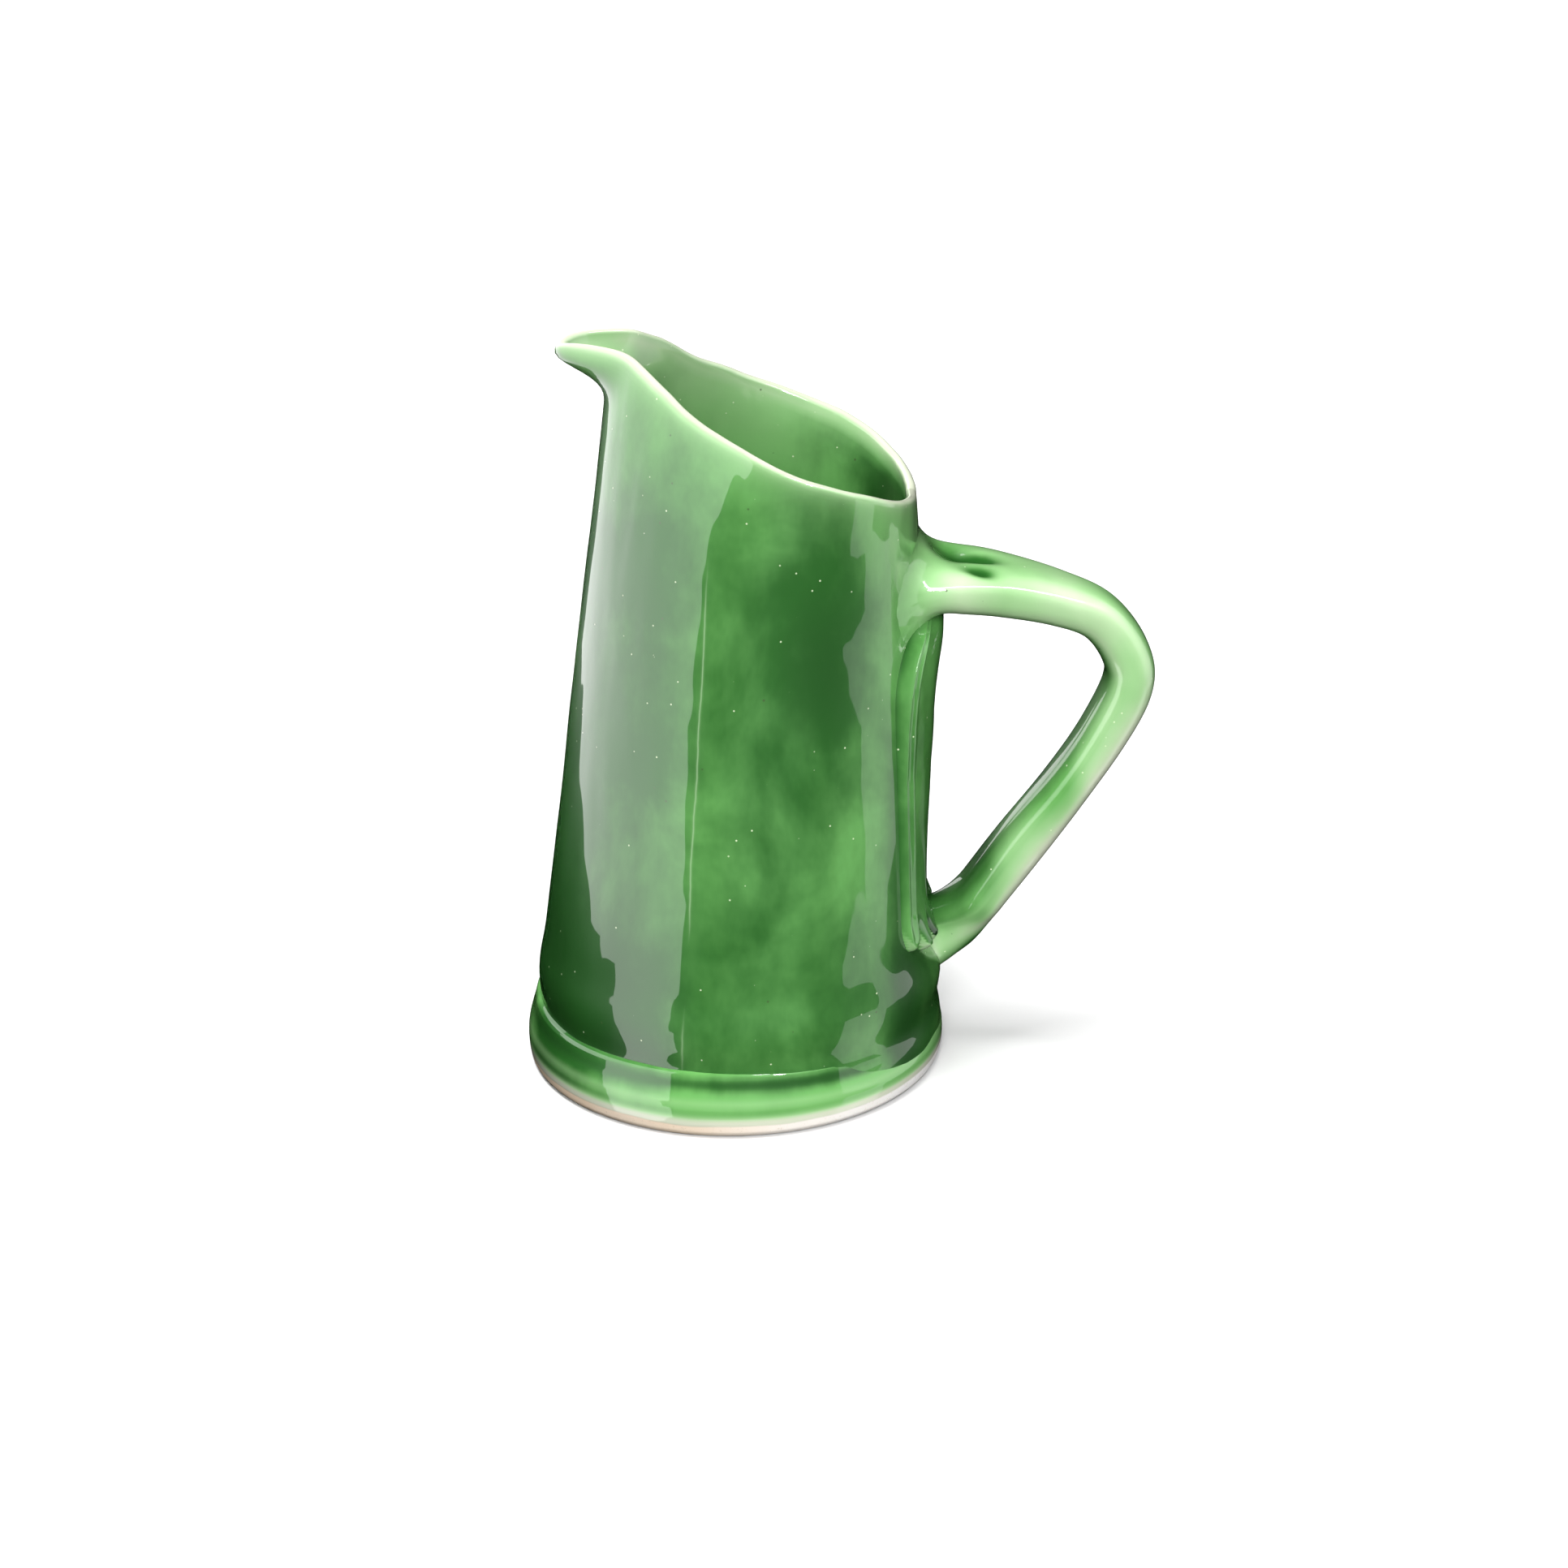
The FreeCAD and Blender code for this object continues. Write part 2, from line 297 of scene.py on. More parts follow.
# Pooled glaze and painted shade in the inside corner on the handle side
inner_pool_and_shade = within * from_handle.hump(12.0, 36.0) * below.ease(0.0015, 0.008)
marks = grid.outputs["Mesh"]
for word, amount in (("thin_and_lit", pale), ("pool_and_shade", wall_pool_and_shade + inner_pool_and_shade * 1.8)):
    marks = add_node(tree, "GeometryNodeStoreNamedAttribute", {"data_type": "FLOAT", "domain": "POINT"},
                     Geometry=marks, Name=word, Value=amount).outputs[0]
moved = add_node(tree, "GeometryNodeSetPosition", Geometry=marks, Position=spot.outputs[0])
closed = add_node(tree, "GeometryNodeMergeByDistance", Geometry=moved.outputs[0], Distance=0.00002)
smooth = add_node(tree, "GeometryNodeSetShadeSmooth", Geometry=closed.outputs[0])
flat = add_node(tree, "GeometryNodeRealizeInstances", Geometry=smooth.outputs[0])

# Glaze: a glossy, half-clear green glass.  It is pale where it runs thin on edges and dark where
# it pools, with soft vertical streaks, fine pits and pale specks.  The stored numbers also carry painted
# light (paler) and painted shade (darker).


def mix_colour(tree, amount, first, second):
    """The first colour where the amount is 0, the second where it is 1."""
    return add_node(tree, "ShaderNodeMix", {"data_type": "RGBA", "clamp_factor": True}, Factor=amount,
                    A=first, B=second).outputs["Result"]


def noise(tree, vector, scale, detail=2.0, rough=0.5, stretch=(1, 1, 1), shift=(0, 0, 0), warp=0.0):
    """Cloudy numbers from 0 to 1 over a surface; `scale` is about how many clouds there are to a metre."""
    spread = add_node(tree, "ShaderNodeMapping", Vector=vector, Scale=stretch, Location=shift)
    node = add_node(tree, "ShaderNodeTexNoise", Vector=spread.outputs[0], Scale=scale, Detail=detail,
                    Roughness=rough, Distortion=warp)
    return Field(tree, node.outputs[0])


def new_material(name):
    """A new material with its tree and its shader."""
    material = bpy.data.materials.new(name)
    material.use_nodes = True
    return material, material.node_tree, material.node_tree.nodes["Principled BSDF"]


def stored(tree, word):
    """A number stored for each point of a piece."""
    return Field(tree, add_node(tree, "ShaderNodeAttribute", {"attribute_name": word}).outputs["Fac"])


def glassy(shader):
    """The glaze's shine: a hard clear coat over a softer coloured body."""
    shader.inputs["Specular IOR Level"].default_value = 0.3
    shader.inputs["Coat Roughness"].default_value = 0.025
    shader.inputs["Coat IOR"].default_value = 1.6


def glaze_colour(tree, where, thin_and_lit, pool_and_shade):
    """Green glaze by thickness: deep in pools, mid green on walls, cream where hardly any is left.
    Painted shade comes in with the pool number and painted light with the thin number.
    """
    cloud = noise(tree, where, 40.0, 4.0, 0.55, (1, 1, 0.75), (0.13, 0.4, 0.2), 0.3)
    streak = noise(tree, where, 170.0, 3.0, 0.6, (1, 1, 0.40), (0.5, 0.1, 0.3))
    broad = noise(tree, where, 14.0, 1.0, 0.4, (1, 1, 0.7), (0.7, 0.2, 0.9))
    depth = 0.31 + (cloud - 0.5) * 1.4 + (streak - 0.5) * 0.30 + (broad - 0.5) * 0.8
    depth = (depth + pool_and_shade * 0.75 - thin_and_lit * 0.5).held(0.0, 1.0)
    green = mix_colour(tree, depth.ease(0.0, 1.0), (0.150, 0.43, 0.110, 1), (0.020, 0.115, 0.016, 1))
    green = mix_colour(tree, (pool_and_shade - 0.6).held(0.0, 1.0), green, (0.008, 0.040, 0.008, 1))
    pale = mix_colour(tree, thin_and_lit.ease(0.10, 0.75), green, (0.42, 0.69, 0.34, 1))
    return mix_colour(tree, thin_and_lit.ease(0.45, 1.0), pale, (0.70, 0.75, 0.58, 1))


glaze, tree_g, glass = new_material("green_glaze")
where = add_node(tree_g, "ShaderNodeTexCoord").outputs["Object"]
uneven = noise(tree_g, where, 60.0, 2.0, 0.5)
thin_and_lit = (stored(tree_g, "thin_and_lit") * (0.75 + uneven * 0.5)).held(0.0, 1.0)
colour = glaze_colour(tree_g, where, thin_and_lit, stored(tree_g, "pool_and_shade"))

# Fine marks: pale and dark specks, and one hairline that runs up the front of the wall
pale_specks = (520.0, 0.93, 0.16, (0.80, 0.92, 0.62, 1))
dark_specks = (330.0, 0.965, 0.14, (0.05, 0.09, 0.03, 1))
for cells_per_metre, rarity, width, tint in (pale_specks, dark_specks):
    cell = add_node(tree_g, "ShaderNodeTexVoronoi", Vector=where, Scale=cells_per_metre)
    split = add_node(tree_g, "ShaderNodeSeparateColor", Color=cell.outputs["Color"])
    chosen = Field(tree_g, split.outputs[0]).ease(rarity, rarity + 0.004)
    dot = (width - Field(tree_g, cell.outputs["Distance"])).ease(0.0, width * 0.6)
    colour = mix_colour(tree_g, dot * chosen * 0.8, colour, tint)
parts = add_node(tree_g, "ShaderNodeSeparateXYZ", Vector=where)
up = Field(tree_g, parts.outputs["Z"])
aside = Field(tree_g, parts.outputs["X"]) - lean * up
bearing = aside.math("ARCTAN2", Field(tree_g, parts.outputs["Y"]) * -1.0)
wander = (noise(tree_g, where, 55.0, 3.0, 0.6) - 0.5) * 0.030
crack = (-((bearing + 0.265 + wander) / 0.0036).math("ABSOLUTE")).math("EXPONENT")
crack = crack * (up.ease(0.050, 0.062) * (0.150 - up).ease(0.0, 0.02) + 0.7 * up.hump(0.024, 0.006))
colour = mix_colour(tree_g, (crack * 0.55).held(0.0, 1.0), colour, (0.50, 0.72, 0.42, 1))
feed(tree_g, colour, glass.inputs["Base Color"])
glass.inputs["Roughness"].default_value = 0.38
glass.inputs["Coat Weight"].default_value = 1.0
glassy(glass)
pits = noise(tree_g, where, 900.0, 2.0, 0.6)
skin = add_node(tree_g, "ShaderNodeBump", Strength=0.04, Distance=0.0004, Height=pits.socket)
feed(tree_g, skin.outputs[0], glass.inputs["Normal"])

painted = add_node(tree, "GeometryNodeSetMaterial", Geometry=flat.outputs[0], Material=glaze)
result = tree.nodes.new("NodeGroupOutput")
tree.links.new(painted.outputs[0], result.inputs["Geometry"])
wall = make_piece("glazed_wall", tree, wall_sizes)
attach(wall, "root")
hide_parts("wall_slab", "outer_glaze", "inner_glaze", "floor_seam_coil")

# ---------------------------------------------------------------------------------------------
# Foot.  The base slab is wider than the wall: its edge is turned up and pressed against the wall
# as a collar.  Glaze stops a few millimetres above the table and leaves a band of bare clay.
# ---------------------------------------------------------------------------------------------


def skin_mesh(name, rows):
    """Closed mesh over rings of points, capped at both ends, with its faces outward."""
    rows = np.asarray(rows, float)
    count, around = rows.shape[:2]
    points = [tuple(p) for p in rows.reshape(-1, 3)]
    faces = []
    for row in range(count - 1):
        for step in range(around):
            following = (step + 1) % around
            faces.append((row * around + step, row * around + following,
                          (row + 1) * around + following, (row + 1) * around + step))
    for row in (0, count - 1):
        points.append(tuple(rows[row].mean(0)))
        middle = len(points) - 1
        for step in range(around):
            pair = (row * around + step, row * around + (step + 1) % around)
            faces.append((middle,) + (pair[::-1] if row == 0 else pair))
    mesh = bpy.data.meshes.new(name)
    mesh.from_pydata(points, [], faces)
    mesh.validate()
    made = bmesh.new()
    made.from_mesh(mesh)
    bmesh.ops.recalc_face_normals(made, faces=made.faces)
    made.to_mesh(mesh)
    made.free()
    mesh.shade_smooth()
    piece = bpy.data.objects.new(name, mesh)
    bpy.context.collection.objects.link(piece)
    return piece


def mark(piece, word, amounts):
    """Stores a number for each point, with zero for the cap points."""
    amounts = np.asarray(amounts, float).ravel()
    whole = np.zeros(len(piece.data.vertices))
    whole[:len(amounts)] = amounts
    layer = piece.data.attributes.new(word, "FLOAT", "POINT")
    layer.data.foreach_set("value", whole)


def swell_line(turn, seed, steps=4):
    """Smooth uneven line round a circle, about zero, built from a few low waves."""
    dice = np.random.default_rng(seed)
    total = np.zeros_like(turn)
    for wave in range(1, steps + 1):
        total = total + dice.normal() / wave * np.cos(wave * turn + dice.uniform(0, 2 * math.pi))
    return total


foot_outline = [(0.0000, 0.0500), (0.0000, 0.0526), (0.0004, 0.0541), (0.0016, 0.0550), (0.0034, 0.0553),
                (0.0056, 0.0554), (0.0076, 0.0553), (0.0092, 0.0550), (0.0106, 0.0546), (0.0120, 0.05415),
                (0.0134, 0.05370), (0.0149, 0.05330), (0.0166, 0.05285), (0.0172, 0.0515)]
foot_z, foot_r = np.array(foot_outline).T
foot_r = foot_r * foot_radius / 0.0555
fine = np.linspace(0, len(foot_z) - 1, 90)
foot_z = np.interp(fine, np.arange(len(foot_z)), foot_z)
foot_r = np.interp(fine, np.arange(len(foot_r)), foot_r)
soft = np.array([1, 3, 5, 3, 1]) / 13.0
foot_r[2:-2] = np.convolve(foot_r, soft, "valid")
foot_z[2:-2] = np.convolve(foot_z, soft, "valid")
turn = np.linspace(0, 2 * math.pi, 360, endpoint=False)
edge_wave = swell_line(turn, 5) * 0.00022
top_wave = swell_line(turn, 8, 6) * 0.0005
rows = []
for z, r in zip(foot_z, foot_r):
    lift = z + top_wave * min(1.0, (z / 0.012) ** 2)
    reach = np.minimum(r + edge_wave * (r > 0.053), foot_radius + 0.0002)
    rows.append(np.stack([reach * np.cos(turn), reach * np.sin(turn), lift], 1))
collar = skin_mesh("foot_collar", rows)
collar_z = np.repeat(foot_z[:, None], len(turn), 1)
mark(collar, "thin_and_lit", 0.55 * np.exp(-((collar_z - 0.0046) / 0.0016) ** 2) * (collar_z < 0.011)
     + 0.30 * np.exp(-((collar_z - 0.0092) / 0.002) ** 2))
# Painted shade and dark reflection low on the near side below the beak
under_beak_shade = np.exp(-((turn - 3.55) / 0.38) ** 2)
mark(collar, "pool_and_shade", np.exp(-((collar_z - 0.0138) / 0.0020) ** 2) * (0.55 + 0.45 * np.cos(turn + 0.9))
     + 0.75 * under_beak_shade * np.clip((collar_z - 0.004) / 0.002, 0, 1))

fired, tree_f, body = new_material("glaze_over_bare_clay")
spot = add_node(tree_f, "ShaderNodeTexCoord").outputs["Object"]
spot_parts = add_node(tree_f, "ShaderNodeSeparateXYZ", Vector=spot)
upright = Field(tree_f, spot_parts.outputs["Z"])
edge = noise(tree_f, spot, 28.0, 2.0, 0.5, (1, 1, 0.2))
glaze_line = 0.0034 + (edge - 0.5) * 0.0022
glazed = (upright - glaze_line).ease(0.0, 0.0007)
grit = noise(tree_f, spot, 1400.0, 3.0, 0.6)
tone = noise(tree_f, spot, 22.0, 2.0, 0.5) + Field(tree_f, spot_parts.outputs["X"]) * 9.0
clay = mix_colour(tree_f, (tone * 1.4 - 0.2).held(0.0, 1.0), (0.95, 0.76, 0.56, 1), (0.98, 0.97, 0.94, 1))
clay = mix_colour(tree_f, ((grit - 0.62) * 6.0).held(0.0, 0.35), clay, (0.62, 0.48, 0.34, 1))
near_line = (-((upright - glaze_line - 0.0006) / 0.0012)).math("EXPONENT").held(0.0, 1.0)
collar_thin = (stored(tree_f, "thin_and_lit") + near_line * 0.8).held(0.0, 1.0)
green = glaze_colour(tree_f, spot, collar_thin, stored(tree_f, "pool_and_shade"))
feed(tree_f, mix_colour(tree_f, glazed, clay, green), body.inputs["Base Color"])
feed(tree_f, 0.72 - glazed * 0.34, body.inputs["Roughness"])
feed(tree_f, glazed, body.inputs["Coat Weight"])
glassy(body)
grain = add_node(tree_f, "ShaderNodeBump", Strength=0.25, Distance=0.0003,
                 Height=(glazed * 1.0 + grit * (1.0 - glazed) * 0.5).socket)
feed(tree_f, grain.outputs[0], body.inputs["Normal"])
collar.data.materials.append(fired)
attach(collar, "root")
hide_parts("base_slab")

# ---------------------------------------------------------------------------------------------
# Leg.  Where the two ends of the handle meet the wall, clay is drawn down between them with the
# fingers: a shallow channel with a double bead on each edge, ending in four finger-drawn tongues.
# ---------------------------------------------------------------------------------------------
wall_tree = BVHTree.FromPolygons([v.co for v in wall.data.vertices],
                                 [p.vertices[:] for p in wall.data.polygons])
wall_marks = wall.data.attributes["thin_and_lit"].data


def wall_thin(place):
    """How thin the glaze is on the wall at a place."""
    face = wall_tree.find_nearest(place)[2]
    corners = wall.data.polygons[face].vertices
    return sum(wall_marks[corner].value for corner in corners) / len(corners)


def axis_x(z):
    """How far the wall's middle has leaned toward the handle at a height."""
    return 0.0003 + wall_sizes["Lean"] * z / body_height


def wall_spot(degrees, z):
    """Point and normal on the outside of the wall, degrees counted from the handle side."""
    angle = math.radians(degrees)
    out = Vector((math.cos(angle), math.sin(angle), 0.0))
    place, normal, _, _ = wall_tree.ray_cast(Vector((axis_x(z), 0, z)) + out * 0.12, -out)
    if normal.dot(out) < 0:
        normal = -normal
    return place, normal


leg_low, leg_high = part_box("handle_leg")
leg_top, leg_foot = leg_high.z - 0.001, leg_low.z + 0.004
columns, lines = 150, 210
near_edge, far_edge = -37.0, 31.0
half_span = (far_edge - near_edge) / 2
back_depth = 0.0012
# How proud the leg is of the wall at a few heights, thickest under the upper root
leg_heights = (0.024, 0.050, 0.085, 0.098, 0.115, 0.122)
leg_proud = (0.0020, 0.0024, 0.0026, 0.0034, 0.0052, 0.0058)
# Two beads along each edge: how far in, half width and height
beads = ((0.0022, 0.0009, 0.0011), (0.0058, 0.0011, 0.0010))
leg_rows, leg_thin, leg_pool_and_shade = [], [], []
for line in np.linspace(0, 1, lines):
    z = leg_top + (leg_foot - leg_top) * line
    arch = math.sqrt(max(1.0 - max(0.0, 1.0 - line / 0.2) ** 2, 0.0004))
    depth_here = float(np.interp(z, leg_heights, leg_proud))
    flute = float(np.clip((0.19 - (z - leg_foot) / body_height * 1.9) / 0.11, 0, 1)) ** 1.5
    row, back = [], []
    for part in np.linspace(-1, 1, columns):
        degrees = (near_edge + far_edge) / 2 + half_span * part * (0.35 + 0.65 * arch)
        place, normal = wall_spot(degrees, z)
        inward = (1.0 - abs(part)) * math.radians(half_span) * 0.050
        rounded = 1.0 - math.exp(-(inward / 0.0013) ** 2)
        ridge = sum(tall * math.exp(-((inward - at) / half_wide) ** 2) for at, half_wide, tall in beads)
        hollow = depth_here - 0.0010 + 0.0008 * math.exp(-((inward - 0.018) / 0.006) ** 2)
        fingers = abs(math.cos(math.pi * (part * 3.6 + 0.12)))
        tongue = 0.0004 + 0.0040 * fingers ** 0.7
        end = leg_foot + 0.0035 + 0.007 * (1.0 - fingers) + 0.008 * part * part
        cut = float(np.clip((z - end) / 0.0035, 0, 1))
        cut = math.sqrt(1.0 - (1.0 - cut) ** 2)
        body_proud = (ridge + hollow) * (1.0 - flute) + tongue * flute
        proud = body_proud * rounded * cut * (1.0 - 0.5 * (1.0 - arch)) - 0.00035
        proud += 0.0022 * math.exp(-(line / 0.12) ** 2) * (1.0 - part * part) ** 2
        row.append(place + normal * proud)
        back.append(place - normal * back_depth)
        tip = flute * (cut > 0.1) * (cut < 0.85)
        by_strap = math.exp(-((degrees + 13.0) / 7.0) ** 2)
        leg_thin.append(0.16 * math.exp(-((inward - 0.0022) / 0.0012) ** 2) + 0.60 * tip)
        # Pooled glaze and painted shade in the creases along both edges, between the tongues and by the
        # strap, and a darker far half
        leg_pool_and_shade.append((0.40 + 0.25 * (part > 0.35) + 0.5 * math.exp(-(inward / 0.001) ** 2)
                         + flute * (1.3 * (1.0 - fingers) ** 2 + 1.3 * by_strap)) * (1.0 - tip))
    leg_rows.append(row + back[::-1])
    leg_thin += [0.0] * columns
    leg_pool_and_shade += [0.0] * columns
leg = skin_mesh("handle_leg_skin", leg_rows)
mark(leg, "thin_and_lit", leg_thin)
mark(leg, "pool_and_shade", leg_pool_and_shade)
leg.data.materials.append(glaze)
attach(leg, "root")
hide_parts("handle_leg")

# ---------------------------------------------------------------------------------------------
# Handle.  A thick strap of clay, wide and flat where it leaves the wall, rounder along the
# slanting arm.  Both ends are thumbed into the wall, with two dents on top of the upper one.
# ---------------------------------------------------------------------------------------------
strap_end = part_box("handle_strap")[1].x
strap_half_thick, strap_half_wide = 0.0062, 0.0090
level = 0.526 * body_height


def wall_face(z):
    """Where the plain tapering wall lies on the handle side at a height."""
    return axis_x(z) + wall_sizes["Foot radius"] + (
        wall_sizes["Mouth radius"] - wall_sizes["Foot radius"]) * z / body_height


handle_reach = strap_end - strap_half_thick - wall_face(level)
# How far out, how high, how much wider and thicker than at its slimmest the strap is
strap_line = [(0.170, 0.677, 1.85, 1.12), (0.385, 0.667, 1.50, 1.08), (0.652, 0.648, 1.18, 1.02),
              (0.862, 0.622, 1.04, 1.00), (0.988, 0.573, 1.00, 1.00), (1.000, 0.526, 1.00, 1.00),
              (0.870, 0.456, 1.00, 1.00), (0.662, 0.375, 1.00, 1.00), (0.414, 0.289, 1.02, 1.03),
              (0.240, 0.228, 1.08, 1.04)]
knots = np.array([(wall_face(up * body_height) + out * handle_reach, up * body_height, wide, thick)
                  for out, up, wide, thick in strap_line])


def smooth_through(points, count):
    """Evenly spaced points on a smooth curve through given ones."""
    ends = np.vstack([2 * points[0] - points[1], points, 2 * points[-1] - points[-2]])
    pieces_of_curve = []
    for place in range(1, len(ends) - 2):
        a, b, c, d = ends[place - 1:place + 3]
        t = np.linspace(0, 1, 60, endpoint=False)[:, None]
        pieces_of_curve.append(0.5 * (2 * b + (c - a) * t + (2 * a - 5 * b + 4 * c - d) * t ** 2
                                      + (3 * b - a - 3 * c + d) * t ** 3))
    whole = np.vstack(pieces_of_curve + [points[-1:]])
    length = np.concatenate([[0], np.cumsum(np.hypot(*np.diff(whole[:, :2], axis=0).T))])
    even = np.linspace(0, length[-1], count)
    return np.stack([np.interp(even, length, column) for column in whole.T], 1), length[-1]


stations, ring_points = 230, 96
path, path_length = smooth_through(knots, stations)
step_along = np.gradient(path[:, :2], axis=0)
step_along /= np.linalg.norm(step_along, axis=1)[:, None]
ring = np.linspace(0, 2 * math.pi, ring_points, endpoint=False)
strap_rows, strap_thin_and_lit, strap_pool_and_shade = [], [], []
for place in range(stations):
    x, z, wide, thick = path[place]
    along = place / (stations - 1) * path_length
    outward = np.array([-step_along[place, 1], 0, step_along[place, 0]])
    across, through = np.cos(ring), np.sin(ring)
    flatter = np.sign(across) * np.abs(across) ** 0.74
    fuller = np.sign(through) * np.abs(through) ** 0.82
    uneven = 1.0 + 0.025 * math.sin(along * 95.0 + 0.6) + 0.018 * math.sin(along * 210.0 + 2.0)
    lateral = flatter * strap_half_wide * wide * uneven
    rise = fuller * strap_half_thick * thick * (1.0 + 0.03 * math.sin(along * 130.0))
    strap_rows.append(np.stack([x + outward[0] * rise, lateral, z + outward[2] * rise], 1))
    patchy = 0.10 * math.sin(along * 70.0 + 1.0) + 0.08 * np.sin(along * 150.0 + 4.0 + across * 1.2)
    # Painted shade on the strap's underside and inner face: less pale and more pooled there
    under = np.clip((-through - 0.45) / 0.5, 0, 1)
    arm = float(np.clip((along - 0.050) / 0.025, 0, 1))
    bend = math.exp(-((along - 0.055) / 0.016) ** 2)
    outer = np.clip((through + 0.20) / 0.55, 0, 1)
    # Cream along the arm's lower outer edge: painted bounce light from below
    edge = np.clip((through - 0.30) / 0.40, 0, 1)
    blot = math.exp(-((along - 0.091) / 0.007) ** 2) + 0.6 * math.exp(-((along - 0.122) / 0.008) ** 2)
    blot = blot * (1 - outer)
    near_edge_pale = 0.22 * np.exp(-((across + 0.80) / 0.25) ** 2) * (1 - arm)
    arm_pale_and_bounce_light = arm * (0.30 * outer + 0.22 * edge - 0.07)
    strap_thin_and_lit.append(0.40 + patchy + 0.16 * bend + near_edge_pale + arm_pale_and_bounce_light - 0.2 * under - 0.25 * blot)
    strap_pool_and_shade.append(0.3 * under + 0.35 * blot)


def root_skirt(rim, inner_ring, centre_z, spread_degrees, up, down, pull_up, pull_down, side, count=40):
    """Rows from the end ring of the strap to the wall, and how pale the wall is where they land.

    The rows land round centre_z, so many degrees to each side and so far up and down.  `pull` is how
    softly they land above and below, and `side` tells which way round the ring is the upper one.
    """
    middle_place, _ = wall_spot(0.0, centre_z)
    feet, ways, pale_here = [], [], []
    for angle in ring:
        lift = math.sin(angle) * side
        across = math.copysign(abs(math.cos(angle)) ** 0.8, math.cos(angle))
        spot, normal = wall_spot(spread_degrees * across, centre_z + (up if lift > 0 else down) * lift)
        way = spot - middle_place
        way = (way - normal * way.dot(normal)).normalized()
        feet.append(np.array(spot - normal * 0.00012))
        ways.append(np.array(way))
        pale_here.append(wall_thin(spot))
    feet, ways = np.array(feet), np.array(ways)
    gap = np.linalg.norm(rim - feet, axis=1)[:, None]
    height_part = np.sin(ring)[:, None] * side
    start_way = rim - inner_ring
    start_way = start_way / np.linalg.norm(start_way, axis=1)[:, None]
    top, bottom = np.clip(height_part, 0, 1) ** 2, np.clip(-height_part, 0, 1) ** 2
    landing = 0.62 * (1 - top - bottom) + pull_up * top + pull_down * bottom
    second = rim + start_way * gap * (0.50 - 0.12 * top)
    third = feet - ways * gap * landing
    made = []
    for t in np.linspace(0, 1, count)[1:]:
        made.append((1 - t) ** 3 * rim + 3 * (1 - t) ** 2 * t * second
                    + 3 * (1 - t) * t * t * third + t ** 3 * feet)
    return made, np.array(pale_here)


upper, upper_pale = root_skirt(strap_rows[0], strap_rows[1], centre_z=0.1290, spread_degrees=38.0,
                               up=0.0160, down=0.0180, pull_up=0.30, pull_down=0.35, side=1)
lower, _ = root_skirt(strap_rows[-1], strap_rows[-2], centre_z=0.0340, spread_degrees=11.0,
                      up=0.0100, down=0.0098, pull_up=0.45, pull_down=0.05, side=-1)
fade_up = np.linspace(1, 0, len(upper) + 1)[1:]
fade_down = np.linspace(1, 0, len(lower) + 1)[1:]
handle_rows = np.array(upper[::-1] + strap_rows + lower)
thin_and_lit_rows = [strap_thin_and_lit[0] * f + upper_pale * (1 - f) for f in fade_up][::-1] + strap_thin_and_lit
# Pooled glaze and painted shade in the crotch where the lower end meets the leg
crotch_pool_and_shade = np.clip(-np.sin(ring), 0, 1) ** 0.5
thin_and_lit_rows = np.array(thin_and_lit_rows + [strap_thin_and_lit[-1] * (1 - 0.8 * (1 - f) * crotch_pool_and_shade) for f in fade_down])
pool_and_shade_rows = [strap_pool_and_shade[0] * f for f in fade_up][::-1] + strap_pool_and_shade
pool_and_shade_rows = np.array(pool_and_shade_rows + [strap_pool_and_shade[-1] * f + 1.0 * (1 - f) * crotch_pool_and_shade for f in fade_down])
# The hollow by the wall, then two thumb dents: place, half size, depth and how dark the glaze pools; the
# dark in the hollow by the wall is also painted shade
on_top = np.clip(np.sin(ring), 0, 1) ** 0.5
dents = ((0.0555, 0.0025, 0.0050, 0.0085, 0.0030, 0.75), (0.0630, -0.0022, 0.0050, 0.0030, 0.0022, 1.0),
         (0.0632, -0.0105, 0.0042, 0.0022, 0.0012, 0.9))
for at_x, at_y, half_x, half_y, depth, dark in dents:
    dent = on_top * np.exp(-((handle_rows[:, :, 0] - at_x) / half_x) ** 2
                           - ((handle_rows[:, :, 1] - at_y) / half_y) ** 2)
    handle_rows[:, :, 2] -= depth * dent
    thin_and_lit_rows *= np.clip(1.0 - 1.3 * dark * dent, 0, 1)
    pool_and_shade_rows += dark * dent
handle = skin_mesh("handle_strap_glazed", handle_rows)
mark(handle, "thin_and_lit", thin_and_lit_rows)
mark(handle, "pool_and_shade", pool_and_shade_rows)
handle.data.materials.append(glaze)
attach(handle, "root")
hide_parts("handle_strap", "handle_glaze", "upper_root_clay", "lower_root_clay")

# ---------------------------------------------------------------------------------------------
# Studio: pale floor, soft lights and the camera.
# ---------------------------------------------------------------------------------------------
bpy.ops.mesh.primitive_plane_add(size=14.0, location=(0, 0, 0))
floor = bpy.context.object
floor.name = "studio_floor"
paper, _, matte = new_material("pale_paper")
matte.inputs["Base Color"].default_value = (0.93, 0.93, 0.93, 1)
matte.inputs["Roughness"].default_value = 0.9
matte.inputs["Specular IOR Level"].default_value = 0.0
floor.data.materials.append(paper)
floor.visible_glossy = False
floor.visible_diffuse = False


